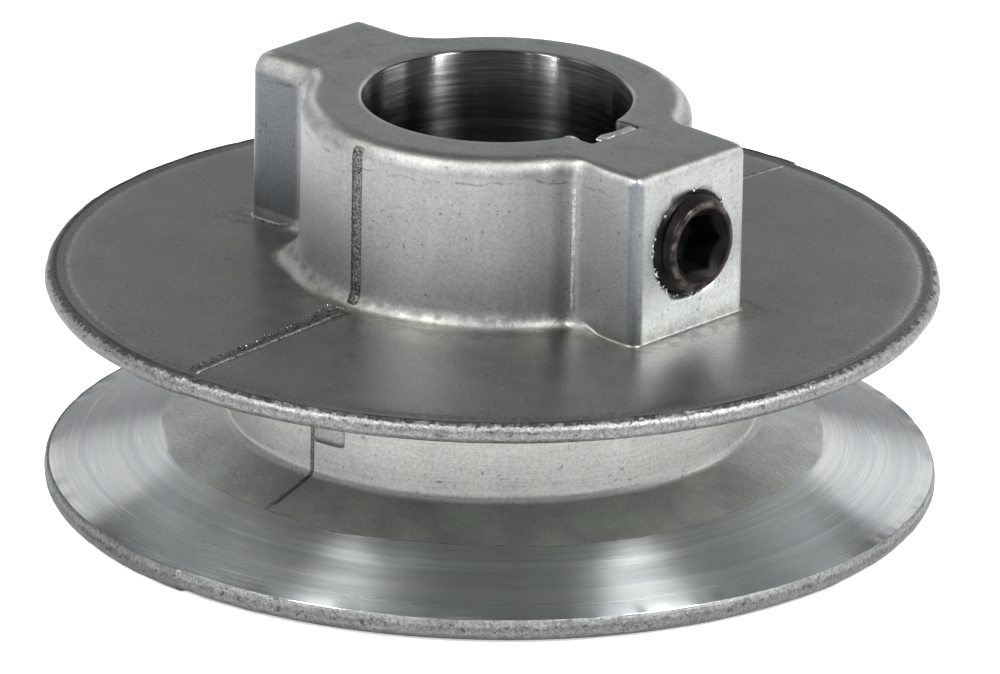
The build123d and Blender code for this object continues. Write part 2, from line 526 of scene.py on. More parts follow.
def set_screw():
    """The screw: cup point, thread, rounded end, countersunk hexagon socket."""
    across_flats = 3.97
    lip = 3.23                 # just under the hole's crests, so that the screw can go in
    lip_round = 0.28
    socket_mouth = 2.65
    socket_depth = 3.2
    hexagon_turn = math.radians(2)
    root = screw_radius - thread_depth
    crest = screw_radius - 0.12

    stations, sizes = [], []

    def add(x, size):
        stations.append(x)
        sizes.append(size)

    # cup point
    add(screw_tip + 0.9, 0.15)
    add(screw_tip + 0.45, 1.3)
    add(screw_tip + 0.08, 2.25)
    add(screw_tip, 2.45)
    add(screw_tip + 0.03, 2.62)
    # threaded length, chamfered at the point and at the socket end
    thread_end = screw_end - lip_round
    for x in np.arange(thread_start, thread_end, pitch / thread_steps):
        limit = min(2.7 + (x - thread_start), lip + (thread_end - x) * 0.5)
        add(x, lambda turn, x=x, limit=limit: np.minimum(
            thread_radius(x, turn, crest, root), limit))
    # rounded lip
    for a in np.radians(np.linspace(0, 90, 6)):
        add(thread_end + lip_round * math.sin(a), lip - lip_round + lip_round * math.cos(a))
    add(screw_end, socket_mouth + 0.12)
    # countersink running into the hexagon
    def hexagon(turn):
        return across_flats / 2 / np.cos((turn + hexagon_turn) % (math.pi / 3) - math.pi / 6)

    add(screw_end - 0.04, socket_mouth)
    for depth in np.linspace(0.12, 0.95, 9):
        cone = socket_mouth - 0.02 - (depth - 0.1) * 0.95
        add(screw_end - depth, lambda turn, cone=cone: np.maximum(hexagon(turn), cone))
    for depth in np.linspace(1.3, socket_depth, 4):
        add(screw_end - depth, hexagon)
    add(screw_end - socket_depth - 0.05, lambda turn: hexagon(turn) * 0.93)
    add(screw_end - socket_depth - 0.5, 1.2)
    add(screw_end - socket_depth - 0.95, 0.15)

    def outline(index, _, turn):
        size = sizes[index]
        return size(turn) if callable(size) else np.full_like(turn, size)

    return round_bar("set_screw_threaded", stations, outline, 144)


# ---------------------------------------------------------------- flash, burrs and crumbs

def strip(name, path, out, half_width, rise, seed, lean=0.0, grain=0.25):
    """A rough closed ridge along a path on the surface, whose normal at each point is out."""
    path, out = np.array(path), np.array(out)
    along = np.gradient(path, axis=0)
    side = np.cross(along, out)
    side /= np.linalg.norm(side, axis=1, keepdims=True)
    half_section = [(0.55, 0.8), (0.95, 0.2), (1.0, -0.15)]
    section = [(-across, height) for across, height in half_section[::-1]]
    section += [(0.0, 1.0)] + half_section
    taper, sunk, base_depth = 8, 0.1, 0.25
    from_end = np.minimum(np.arange(len(path)), np.arange(len(path))[::-1])
    ends = smooth_step(from_end, 0, taper)
    rings = []
    for across, height in section:
        place = path + side * across * half_width
        uneven = 1 + 0.55 * rough(place, grain, seed) + 0.35 * rough(place, grain * 5, seed + 1)
        lift = np.full(len(path), height)
        if height > 0:
            lift = rise * (height + lean * across) * uneven
        rings.append(place + out * (lift * ends)[:, None] - out * (sunk * (1 - ends))[:, None])
    rings.append(path - out * base_depth)
    rings = np.stack(rings, 1)
    rows, columns = rings.shape[:2]
    faces = [tuple(f) for f in grid_faces(rows, columns)]
    faces.append(tuple(range(columns))[::-1])
    faces.append(tuple(range((rows - 1) * columns, rows * columns)))
    return mesh_object(name, rings.reshape(-1, 3), faces)


upward = np.array([0.0, 0.0, 1.0])


def hub_seam():
    """The flash line down the front of the hub, from the rounded top edge to the foot."""
    outward = direction(math.radians(hub_seam_angle))
    foot_height = web_height(hub_radius + hub_foot_round)
    path, out = [], []
    for z in np.arange(foot_height + 0.04, hub_height - 0.25, 0.06):
        over = max(0.0, z - (hub_height - hub_end_round))
        inset = hub_end_round - math.sqrt(hub_end_round**2 - over**2)
        under = max(0.0, foot_height + hub_foot_round - z)
        flare = hub_foot_round - math.sqrt(hub_foot_round**2 - under**2)
        tilt = max(over / hub_end_round, under / hub_foot_round)
        path.append(outward * (hub_radius - inset + flare) + upward * z)
        out.append(outward * math.sqrt(1 - tilt**2) + upward * tilt)
    return strip("hub_seam", path, out, 0.5, 0.1, 11)


def root_ridge(number):
    """A fine witness line down each corner where a lug leaves the round hub."""
    side, end = (1 if number in (1, 2) else -1), (1 if number in (1, 4) else -1)
    corner_x, corner_y = 12.95, 5.85
    foot, head = 17.2, hub_height - 1.3
    angle = math.atan2(side * corner_y, end * corner_x)
    place = radius_at(hub_distance, np.array([angle]))[0] * direction(angle)
    path = [place + upward * z for z in np.arange(foot, head, 0.12)]
    out = [(0.35 * end, side * 0.94, 0)] * len(path)
    return strip(f"root_ridge_{number}", path, out, 0.2, 0.05, 80 + number, grain=1.2)


web_seam_drift = 0.031         # how the parting line strays on its way out across the web
seam_end = 30.9                # radius at which it meets the rim


def web_seam_x(radius):
    """The parting line's place across the web."""
    return -0.31 + (radius - hub_radius) * web_seam_drift


def web_seam():
    """The ridge along the parting line on the web."""
    path = [(web_seam_x(r) + 0.12, -r, web_height(r)) for r in np.arange(14.9, seam_end, 0.1)]
    return strip("web_seam", path, [upward] * len(path), 0.16, 0.09, 21, grain=0.3)


def far_web_seam():
    """The same ridge on the far side of the hub, where it is lower."""
    path = [(0.1, r, web_height(r)) for r in np.arange(15.2, seam_end, 0.12)]
    return strip("far_web_seam", path, [upward] * len(path), 0.12, 0.05, 31, grain=0.4)


def neck_seam():
    """The flash line down the neck, round its foot and out over the cast part of the groove."""
    outward = direction(math.radians(neck_seam_angle))
    cone_normal = outward * math.sin(half_groove) + upward * math.cos(half_groove)
    low, high = lower_face(neck_radius), upper_face(neck_radius) - 0.4
    cast_ring_end = 23.3
    path = [outward * neck_radius + upward * z for z in np.arange(high, low + neck_fillet, -0.1)]
    out = [outward] * len(path)
    foot = outward * neck_edge + upward * lower_face(neck_edge)
    corner = outward * neck_radius + upward * low
    head = corner + upward * neck_fillet
    for t in np.linspace(0, 1, 6, endpoint=False):
        path.append((1 - t) ** 2 * head + 2 * t * (1 - t) * corner + t * t * foot)
        out.append((1 - t) * outward + t * cone_normal)
    reach = np.arange(neck_edge, cast_ring_end, 0.1)
    path += [outward * r + upward * lower_face(r) for r in reach]
    out += [cone_normal] * len(reach)
    out = [normal / np.linalg.norm(normal) for normal in out]
    return strip("neck_seam", path, out, 0.17, 0.1, 41)


def keyway_burr():
    """Metal dragged over the outer end of the keyway when it was broached."""
    across = np.arange(-1.2, 2.5, 0.07)
    path = [(key_floor - 0.22 + 0.1 * math.sin(2 * y), y, hub_height - 0.03) for y in across]
    return strip("keyway_burr", path, [upward] * len(path), 0.42, 0.1, 61, lean=-0.3, grain=0.5)


def keyway_chip():
    """The torn edge along one side of the keyway."""
    path = [(x, -key_half_width, hub_height - 0.02) for x in np.arange(8.9, 10.3, 0.07)]
    return strip("keyway_chip", path, [upward] * len(path), 0.13, 0.07, 71, grain=0.3)


def crumbs(name, places, size, seed):
    """Little grains of metal: one mesh of separate closed lumps."""
    chance = random.Random(seed)
    points, faces = [], []
    for place in places:
        radius = size * chance.uniform(0.6, 1.4)
        template = bmesh.new()
        bmesh.ops.create_icosphere(template, subdivisions=2, radius=1)
        stretch = [chance.uniform(0.6, 1.3) for _ in range(3)]
        base = len(points)
        for vertex in template.verts:
            bulge = 1 + 0.4 * noise.noise(vertex.co * 1.7 + Vector((base, seed, 0)))
            scaled = (radius * bulge * s * v for s, v in zip(stretch, vertex.co))
            points.append([centre + offset for centre, offset in zip(place, scaled)])
        for face in template.faces:
            faces.append(tuple(base + vertex.index for vertex in face.verts))
        template.free()
    return mesh_object(name, points, faces)


def seam_places(count, seed):
    """Places along the web's parting line, thickest at the hub's foot."""
    chance = random.Random(seed)
    places = []
    for _ in range(count):
        share = chance.random() ** 2.2
        radius = 14.6 + 15.9 * share
        x = web_seam_x(radius) - 0.4 + chance.gauss(0, 0.24 + 0.5 * (1 - share) ** 4)
        places.append((x, -radius, web_height(radius)))
    return places


def foot_crumbs():
    """Grains left along the foot of the plain lug."""
    count, seed = 70, 7
    chance = random.Random(seed)
    places = []
    for _ in range(count):
        x = -chance.uniform(13.6, 19.1)
        side = chance.choice((-1, 1))
        y = side * (lug_half_width + chance.uniform(0.1, 0.4))
        places.append((x, y, web_height(math.hypot(x, y))))
    return crumbs("foot_crumbs", places, 0.08, seed)


def thread_crumbs():
    """Bright chips that the tap left round the lower side of the hole."""
    count, seed = 64, 9
    chance = random.Random(seed)
    places = []
    for _ in range(count):
        turn = math.radians(chance.choice((chance.uniform(170, 300), chance.uniform(0, 360))))
        radius = screw_radius + chance.uniform(-0.22, 0.06)
        y, z = radius * math.cos(turn), screw_height + radius * math.sin(turn)
        places.append((screw_lug_reach + 0.01, y, z))
    return crumbs("thread_crumbs", places, 0.085, seed)


def gate_witness():
    """A small round-ended pad beside the parting line, under the upper flange."""
    columns, rows = 26, 12
    points, faces = [], []
    gap_degrees, width_degrees, gap_above, drop = 0.4, 8.6, 0.2, 2.75
    start = math.radians(neck_seam_angle + gap_degrees)
    end = start + math.radians(width_degrees)
    top = upper_face(neck_radius) - gap_above
    bottom = top - drop
    height, sunk, edge_width, back_scale = 0.28, 0.08, 0.09, 0.985
    for i in range(rows):
        v = i / (rows - 1)
        for j in range(columns):
            u = j / (columns - 1)
            from_edge = min(u, 1 - u, v * 0.5, (1 - v) * 0.5)
            rise = height * float(smooth_step(from_edge, 0.0, edge_width)) - sunk
            round_end = 0.35 * max(0.0, u - 0.75) * 4
            z = top + (bottom - top) * v + (v * round_end) ** 2 * 2.0
            points.append(direction(start + (end - start) * u) * (neck_radius + rise) + upward * z)
    for i in range(rows - 1):
        for j in range(columns - 1):
            a = i * columns + j
            faces.append((a, a + columns, a + columns + 1, a + 1))
    # the sides and the hidden back close the pad
    edge = list(range(columns))
    edge += [i * columns + columns - 1 for i in range(1, rows)]
    edge += [(rows - 1) * columns + j for j in range(columns - 2, -1, -1)]
    edge += [i * columns for i in range(rows - 2, 0, -1)]
    base = len(points)
    for index in edge:
        points.append(points[index] * (back_scale, back_scale, 1))
    count = len(edge)
    for k in range(count):
        n = (k + 1) % count
        faces.append((edge[k], edge[n], base + n, base + k))
    faces.append(tuple(base + k for k in range(count)))
    return mesh_object("gate_witness", points, faces)


# ---------------------------------------------------------------- materials

class Surface:
    """Builds one material's nodes. An input takes a number, a colour or another node's socket."""

    def __init__(self, name):
        self.material = bpy.data.materials.new(name)
        self.material.use_nodes = True
        self.tree = self.material.node_tree
        self.tree.nodes.clear()
        place = self.node("ShaderNodeTexCoord").outputs["Object"]
        self.mm = self.vector("SCALE", place, scale=1 / MM)
        parts = self.node("ShaderNodeSeparateXYZ", {"Vector": self.mm}).outputs
        self.x, self.y, self.z = parts
        across = self.node("ShaderNodeCombineXYZ", {"X": self.x, "Y": self.y}).outputs[0]
        self.radius = self.length(across)
        self.around = self.vector("NORMALIZE", across)

    def node(self, kind, inputs=None, **settings):
        made = self.tree.nodes.new(kind)
        for name, value in settings.items():
            setattr(made, name, value)
        for key, value in (inputs or {}).items():
            if isinstance(value, bpy.types.NodeSocket):
                self.tree.links.new(value, made.inputs[key])
            else:
                made.inputs[key].default_value = value
        return made

    def vector(self, operation, first, second=None, scale=None):
        inputs = {0: first}
        if second is not None:
            inputs[1] = second
        if scale is not None:
            inputs["Scale"] = scale
        return self.node("ShaderNodeVectorMath", inputs, operation=operation).outputs["Vector"]

    def length(self, vector):
        return self.node("ShaderNodeVectorMath", {0: vector}, operation="LENGTH").outputs["Value"]

    def math(self, operation, *values):
        return self.node("ShaderNodeMath", dict(enumerate(values)), operation=operation).outputs[0]

    def times(self, first, *others):
        for other in others:
            first = self.math("MULTIPLY", first, other)
        return first

    def plus(self, first, second):
        return self.math("ADD", first, second)

    def minus(self, first, second):
        return self.math("SUBTRACT", first, second)

    def larger(self, first, second):
        return self.math("MAXIMUM", first, second)

    def size_of(self, value):
        return self.math("ABSOLUTE", value)

    def noise(self, size, stretch=(1, 1, 1), place=None, detail=3.0, roughness=0.55, seed=0.0):
        """Noise from 0 to 1 with lumps about size millimetres across, longer where stretched."""
        scaled = self.vector("MULTIPLY", place or self.mm, tuple(1 / s for s in stretch))
        shifted = self.vector("ADD", scaled, (seed, seed * 0.7, seed * 1.3))
        inputs = {"Vector": shifted, "Scale": 1 / size, "Detail": detail, "Roughness": roughness}
        return self.node("ShaderNodeTexNoise", inputs).outputs["Fac"]

    def turned(self, along_arc):
        """A place that changes fast across turning marks and slowly along them."""
        lines_per_mm = 7
        slow = self.vector("SCALE", self.around, scale=along_arc)
        level = self.times(self.plus(self.radius, self.z), lines_per_mm)
        lifted = self.node("ShaderNodeCombineXYZ", {"Z": level}).outputs[0]
        return self.vector("ADD", slow, lifted)

    def between(self, value, low, high, out_low=0.0, out_high=1.0):
        """Map a range smoothly onto another, held at both ends."""
        ends = {"From Min": low, "From Max": high, "To Min": out_low, "To Max": out_high}
        ramp = self.node("ShaderNodeMapRange", ends, interpolation_type="SMOOTHSTEP")
        self.tree.links.new(value, ramp.inputs["Value"])
        return ramp.outputs["Result"]

    def vary(self, noise, low=0.0, high=1.0):
        """Map the range where most of a noise lies onto two values."""
        return self.between(noise, 0.3, 0.7, low, high)

    def mix(self, share, first, second):
        """Mix of two colours, or of two numbers."""
        colour = any(isinstance(v, tuple) for v in (first, second)) or any(
            isinstance(v, bpy.types.NodeSocket) and v.type == "RGBA" for v in (first, second)
        )
        if colour:
            inputs = {0: share, 6: opaque(first), 7: opaque(second)}
            return self.node("ShaderNodeMix", inputs, data_type="RGBA").outputs[2]
        return self.node("ShaderNodeMix", {0: share, 2: first, 3: second}).outputs[0]

    def band(self, value, centre, width):
        """1 at the centre of a band, 0 outside it."""
        return self.between(self.size_of(self.minus(value, centre)), 0, width, 1.0, 0.0)

    def tinted(self, tone, red, blue):
        """A colour of that tone, with its red and blue weaker or stronger than its green."""
        parts = {"Red": self.times(tone, red), "Green": tone, "Blue": self.times(tone, blue)}
        return self.node("ShaderNodeCombineColor", parts).outputs[0]

    def bump(self, height, distance):
        """Normals of a relief; distance is the relief's full depth in millimetres."""
        inputs = {"Height": height, "Strength": 1.0, "Distance": distance * MM}
        return self.node("ShaderNodeBump", inputs).outputs["Normal"]

    def metal(self, colour, roughness, normal, metallic=1.0, **extra):
        inputs = {"Base Color": colour, "Roughness": roughness, "Normal": normal}
        inputs["Metallic"] = metallic
        inputs.update({name.replace("_", " "): value for name, value in extra.items()})
        return self.node("ShaderNodeBsdfPrincipled", inputs).outputs[0]

    def turned_metal(self, colour, roughness, normal):
        """Metal with fine circular marks round Z, which stretch its reflections across them."""
        axis = self.node("ShaderNodeTangent", direction_type="RADIAL", axis="Z").outputs[0]
        marks = {"Anisotropic": 1.0, "Anisotropic_Rotation": 0.25, "Tangent": axis}
        return self.metal(colour, roughness, normal, **marks)

    def finish(self, shader):
        self.node("ShaderNodeOutputMaterial", {"Surface": shader})
        return self.material


def opaque(colour):
    return (*colour, 1.0) if isinstance(colour, tuple) else colour


# Levels that tell the casting's faces apart by height
web_level = 16.6
web_start = 16.2
neck_top = 14.2
hub_top = hub_height - 0.5


def cast_skin(name="cast_zinc_skin", shade=1.0, coarse=1.0, speckle=0.0):
    """As-cast zinc: soft blotches, fine grain, drag marks down the walls, dark pits and dirt.

    shade scales its tone, coarse its relief, and speckle is the strength of its specks.
    """
    s = Surface(name)
    normal = s.node("ShaderNodeNewGeometry").outputs["Normal"]
    up = s.node("ShaderNodeSeparateXYZ", {"Vector": normal}).outputs["Z"]
    beside_x, beside_y = s.size_of(s.x), s.size_of(s.y)
    reach = s.times(s.y, -1.0)
    lug_edge, lug_end = lug_half_width + 1.25, plain_lug_reach + 0.9  # outside the lugs' feet

    # masks: where a point lies on the casting
    upright = s.between(s.size_of(up), 0.35, 0.8, 1.0, 0.0)
    on_web = s.band(s.z, web_level, 1.3)
    above_web = s.between(s.z, web_start, web_level)
    on_top = s.between(s.z, hub_top, hub_height - 0.1)
    on_neck = s.between(s.z, neck_top, neck_top + 0.4, 1.0, 0.0)
    dragged = s.mix(on_neck, upright, 0.0)
    on_screw_face = s.times(
        s.between(s.x, screw_lug_reach - 0.4, screw_lug_reach - 0.2),
        s.between(s.y, 0.25 - lug_half_width, 0.45 - lug_half_width),
        s.between(up, 0.6, 0.3),
        above_web,
    )
    corner = screw_lug_reach + lug_half_width
    corner_side = s.between(s.minus(s.x, s.y), corner - 0.9, corner - 0.55)
    on_corner = s.times(corner_side, s.between(up, 0.75, 0.5), above_web)
    on_plain_side = s.times(
        s.between(s.x, 0.4 - hub_radius, -0.6 - hub_radius),
        s.between(s.y, 1.05 - lug_half_width, 0.45 - lug_half_width),
        s.between(s.x, 0.1 - plain_lug_reach, 0.9 - plain_lug_reach),
        s.between(s.z, hub_height - 1.1, hub_height - 1.6),
        s.between(s.z, web_level + 0.6, web_level + 1.0),
    )
    at_hub = s.between(s.radius, hub_radius + 0.6, hub_radius + 0.3)
    round_wall = s.times(at_hub, s.minus(1.0, on_neck), upright)
    lug_root = s.times(
        s.band(beside_y, lug_half_width + 0.8, 0.75),
        s.between(beside_x, 11.0, 11.8),
        s.between(s.radius, hub_radius + 0.5, hub_radius + 0.3),
        upright,
    )
    slanted = s.times(s.between(up, 0.05, 0.3), s.between(up, 0.99, 0.9))
    roundings = s.plus(s.band(s.z, web_level + 0.7, 0.9), s.band(s.z, hub_height - 0.8, 0.9))
    rounded = s.times(slanted, roundings)

    # textures
    blotch = s.noise(5.0, detail=4.0, seed=3)
    cloud = s.noise(1.6, seed=8)
    grain = s.noise(0.22, detail=2.0, seed=5)
    drag = s.noise(0.5, stretch=(1, 1, 11), seed=1)
    swirl = s.noise(1.0, place=s.turned(4.0), detail=2.0, seed=6)
    specks = s.noise(0.16, detail=2.0, seed=4)
    pits = s.between(s.noise(0.42, detail=1.5, seed=12), 0.69, 0.74)
    ragged = s.vary(s.noise(0.3, seed=15), -0.25, 0.25)

    # each face's own tone, with painted light and shade on some faces
    tone = s.mix(on_web, 0.34 * shade, 0.29 * shade)
    # painted shade in the corners where the lugs leave the round wall
    tone = s.times(tone, s.mix(lug_root, 1.0, 0.75))
    # painted shade on the round wall towards the screw lug, and a little over its half on the
    # plain lug's side
    near_lug = s.between(beside_y, lug_edge, 11.0, 0.6, 1.0)
    near_lug = s.mix(s.between(s.x, -2.0, 2.0), 0.95, near_lug)
    tone = s.times(tone, s.mix(round_wall, 1.0, near_lug))
    tone = s.mix(on_top, tone, 0.43 * shade)
    smudge = s.between(s.noise(3.0, detail=4.0, seed=33), 0.5, 0.68)
    tone = s.times(tone, s.mix(s.times(smudge, on_top), 1.0, 0.86))
    tone = s.mix(on_neck, tone, 0.39 * shade)
    # painted light: the screw lug's outer face is lit brighter, most towards its foot
    tone = s.mix(on_screw_face, tone, s.between(s.z, 17.0, 22.0, 0.93 * shade, 0.36 * shade))
    # painted shade: dark tones on the plain lug's side and on the screw lug's rounded corner
    tone = s.mix(on_plain_side, tone, 0.15 * shade)
    tone = s.mix(on_corner, tone, 0.2 * shade)

    # painted highlight on the roundings, broken into lighter and darker blotches at the foot,
    # and an uneven dark line under the hub's rounded end
    # painted highlight on the roundings, lighter in patches
    painted_fillet_highlight = s.between(cloud, 0.35, 0.65, 1.0, 1.25)
    foot_fillet_blotches = s.between(s.noise(0.8, detail=4.0, seed=27), 0.35, 0.65, 0.62, 1.12)
    tone = s.times(tone, s.mix(rounded, 1.0, s.mix(s.band(s.z, 17.2, 1.1), painted_fillet_highlight, foot_fillet_blotches)))
    # an uneven dark line under the hub's rounded end
    end_dark_line = s.times(
        s.band(s.plus(s.z, s.vary(blotch, -0.35, 0.35)), 27.3, 0.16),
        upright,
        s.between(s.x, 18.2, 17.4),
        s.between(s.noise(1.3, detail=2.0, seed=21), 0.42, 0.62),
    )
    tone = s.times(
        tone,
        s.mix(end_dark_line, 1.0, 0.6),
        s.vary(blotch, 0.95, 1.05),
        s.vary(cloud, 0.98, 1.02),
        s.between(grain, 0.3, 0.75, 1.08, 0.86),
        s.mix(dragged, 1.0, s.vary(drag, 0.97, 1.025)),
        s.mix(on_neck, 1.0, s.vary(swirl, 1.05, 0.93)),
        s.between(specks, 0.35, 0.65, 1 + speckle, 1 - speckle),
        s.mix(pits, 1.0, 0.6),
    )

    # dirt along the parting line, painted shade along the left edge of the hub's flash line and in
    # the trough inside the rim's lip, and darker round the foot of the hub and the lugs
    seam_x = s.math("MULTIPLY_ADD", s.minus(reach, hub_radius), web_seam_drift, -0.5)
    stray = s.size_of(s.plus(s.minus(s.x, seam_x), ragged))
    seam_width = s.between(reach, 15.0, 20.0, 1.5, 0.8)
    seam_dirt = s.between(s.math("DIVIDE", stray, seam_width), 0.35, 1.0, 1.0, 0.0)
    seam_dirt = s.times(seam_dirt, s.between(reach, 14.8, 15.2), on_web)
    far_dirt = s.band(s.plus(s.x, s.times(ragged, 0.6)), 0.0, 0.25)
    far_dirt = s.times(far_dirt, on_web, s.between(s.y, 14.8, 15.2))
    hub_foot = s.times(
        s.band(s.plus(s.radius, ragged), 15.5, 0.9),
        on_web,
        s.between(s.noise(0.9, detail=4.0, seed=18), 0.4, 0.7),
    )
    from_lug = s.larger(s.minus(beside_y, lug_edge), s.minus(beside_x, lug_end))
    lug_foot = s.times(
        s.between(s.plus(from_lug, s.times(ragged, 2.0)), 0.0, 0.9, 1.0, 0.0),
        on_web,
        s.between(s.radius, 15.2, 16.2),
        s.between(s.noise(0.9, detail=4.0, seed=19), 0.38, 0.62),
    )
    foot = s.times(s.larger(hub_foot, lug_foot), 0.45)
    # painted shade: a dark line down the left edge of the hub's flash line
    seam_edge_shade = s.times(
        s.band(s.plus(s.x, s.times(ragged, 0.4)), -0.68, 0.22),
        upright,
        s.between(reach, 12.4, 12.8),
        s.between(s.z, web_level, 17.2),
    )
    # painted shade in the trough inside the rim's lip
    trough = s.times(s.between(s.plus(s.radius, ragged), 30.05, 30.5), on_web, 0.8)
    dark_marks = seam_dirt
    for other in (far_dirt, foot, seam_edge_shade, trough):
        dark_marks = s.larger(dark_marks, other)
    tone = s.times(tone, s.mix(dark_marks, 1.0, 0.4))

    # bluish painted shade on the plain lug's side and the screw lug's corner, and a warmer painted
    # reflection on the web near the hub
    cool_painted_shade = s.larger(on_plain_side, on_corner)
    blue = s.mix(cool_painted_shade, s.mix(upright, 0.955, 0.985), 1.05)
    blue = s.mix(on_neck, blue, 0.945)
    # painted reflection: warmer blotches on the web near the hub
    warm_reflection = s.times(on_web, s.between(s.radius, 25.0, 16.0), s.between(blotch, 0.35, 0.6))
    blue = s.times(blue, s.mix(warm_reflection, 1.0, 0.93))
    colour = s.tinted(tone, s.mix(cool_painted_shade, 0.975, 0.94), blue)

    roughness = s.mix(on_top, s.mix(on_web, 0.45, 0.33), 0.34)
    roughness = s.plus(roughness, s.vary(cloud, -0.02, 0.03))
    roughness = s.plus(roughness, s.times(dark_marks, 0.2))
    roughness = s.plus(roughness, s.times(rounded, 0.16))
    relief = s.times(grain, s.mix(rounded, 0.5, 1.6))
    relief = s.plus(relief, s.times(drag, dragged, 0.4))
    relief = s.plus(relief, s.times(s.noise(0.7, detail=2.0, seed=2), s.mix(on_web, 0.5, 0.15)))
    relief = s.minus(relief, s.times(pits, 0.8))
    relief = s.plus(relief, s.times(swirl, 0.15))
    return s.finish(s.metal(colour, roughness, s.bump(relief, 0.014 * coarse)))


def groove_metal():
    """Groove faces: turned bright outside an uneven edge, dull cast skin inside it."""
    s = Surface("groove_faces")
    wander = s.noise(9.0, detail=1.0, seed=4)
    ragged = s.noise(0.6, place=s.turned(9.0), detail=2.0, seed=3)
    edge = s.plus(s.radius, s.between(wander, 0.2, 0.8, -0.3, 0.3))
    edge = s.plus(edge, s.vary(ragged, -0.07, 0.07))
    bright = s.between(edge, 23.5, 23.8)

    lines = s.noise(1.2, place=s.turned(1.0), detail=1.5, roughness=0.6, seed=2)
    arcs = s.between(s.noise(0.9, place=s.turned(3.5), detail=1.0, seed=7), 0.66, 0.74)
    coarse = s.noise(8.0, place=s.turned(1.0), detail=2.0, seed=9)
    scratches = s.noise(0.9, place=s.turned(3.0), detail=1.0, seed=13)
    colour = s.mix(s.vary(lines), (0.355, 0.375, 0.385), (0.425, 0.435, 0.43))
    colour = s.mix(s.times(arcs, 0.35), colour, (0.7, 0.7, 0.66))
    colour = s.mix(s.between(scratches, 0.7, 0.76, 0.0, 0.6), colour, (0.24, 0.25, 0.25))
    roughness = s.vary(coarse, 0.24, 0.29)
    turned = s.turned_metal(colour, roughness, s.bump(s.plus(lines, coarse), 0.0014))

    blotch = s.noise(3.0, detail=4.0, seed=7)
    grain = s.noise(0.3, seed=11)
    # painted shade along the flash line over the cast part of the groove
    seam = s.band(s.plus(s.x, s.vary(grain, -0.15, 0.15)), 0.52, 0.3)
    seam = s.times(seam, s.between(s.y, -18.0, -18.5))
    tone = s.times(
        s.vary(blotch, 0.31, 0.42),
        s.mix(seam, 1.0, 0.45),
        s.vary(grain, 1.06, 0.94),
    )
    skin = s.metal(s.tinted(tone, 0.965, 0.94), 0.44, s.bump(s.plus(grain, blotch), 0.035))
    return s.finish(s.node("ShaderNodeMixShader", {0: bright, 1: skin, 2: turned}).outputs[0])


def bored_metal():
    """The bore: reamed, with fine lines round it, its metal darkened as painted shade, and the
    darker floor of the keyway.
    """
    s = Surface("bored_zinc")
    lines = s.noise(1.0, place=s.turned(2.0), detail=5.0, roughness=0.7, seed=5)
    rings = s.noise(3.0, place=s.turned(1.0), detail=2.0, seed=2)
    # painted shade: the bore's metal is given a dark colour
    colour = s.mix(s.vary(lines), (0.075, 0.08, 0.088), (0.2, 0.2, 0.19))
    colour = s.mix(s.between(s.x, 9.4, 9.8), colour, (0.07, 0.07, 0.075))
    roughness = s.vary(rings, 0.2, 0.25)
    return s.finish(s.turned_metal(colour, roughness, s.bump(s.plus(lines, rings), 0.003)))


def rim_metal():
    """The rims: nicked and spotted with dirt, lighter above as a painted highlight, and darker and
    less metallic towards their undersides as painted shade.
    """
    s = Surface("rim_zinc")
    nicks = s.noise(0.3, roughness=0.65, seed=3)
    grain = s.noise(0.14, detail=2.0, seed=5)
    patches = s.noise(2.5, seed=6)
    ragged = s.vary(s.noise(0.5, seed=14), -0.12, 0.12)
    dark_marks = s.between(s.noise(0.4, detail=2.0, seed=9), 0.6, 0.67)
    rough_patches = s.plus(nicks, s.times(patches, 0.5))

    # heights from the middle of each rim, and the tones that they have on the lower and upper rim
    on_upper = s.between(s.z, 8.0, 9.0)
    middle = s.mix(on_upper, lower_rim, upper_rim)
    above = s.plus(s.minus(s.z, middle), ragged)
    crown_highlight = s.between(above, 0.15, 0.4)
    under = s.between(above, -0.2, -0.7)
    lip = s.times(on_upper, s.between(above, 0.5, 0.64))
    # painted shade: the lower rim is darker than the upper one
    tone = s.mix(on_upper, 0.15, 0.21)
    # painted highlight on the upper part of each rim
    tone = s.mix(crown_highlight, tone, s.mix(on_upper, 0.24, 0.31))
    # painted shade towards the undersides, where the lower rim is also made less metallic
    tone = s.mix(under, tone, s.mix(on_upper, 0.03, 0.12))
    # painted shade on the upper rim's lip and top
    tone = s.mix(lip, tone, 0.1)
    tone = s.times(
        tone,
        s.between(rough_patches, 0.5, 1.0, 0.75, 1.2),
        s.between(grain, 0.35, 0.65, 1.2, 0.8),
        # painted shade over the rims' half at -X
        s.between(s.x, -0.06, 0.06, 0.84, 1.0),
        s.mix(dark_marks, 1.0, 0.5),
    )
    relief = s.plus(rough_patches, s.times(grain, 0.3))
    roughness = s.vary(patches, 0.44, 0.58)
    metallic_share = s.mix(s.times(under, s.mix(on_upper, 1.0, 0.0)), 1.0, 0.15)
    colour = s.tinted(tone, 0.985, 0.98)
    return s.finish(s.metal(colour, roughness, s.bump(relief, 0.07), metallic=metallic_share))


def bright_chip():
    """Freshly torn metal: crumbs and burrs."""
    s = Surface("torn_zinc")
    tone = s.vary(s.noise(0.12, seed=2), 0.3, 0.85)
    colour = s.tinted(tone, 1.0, 1.0)
    return s.finish(s.metal(colour, s.between(tone, 0.3, 0.8, 0.45, 0.25), s.bump(tone, 0.03)))


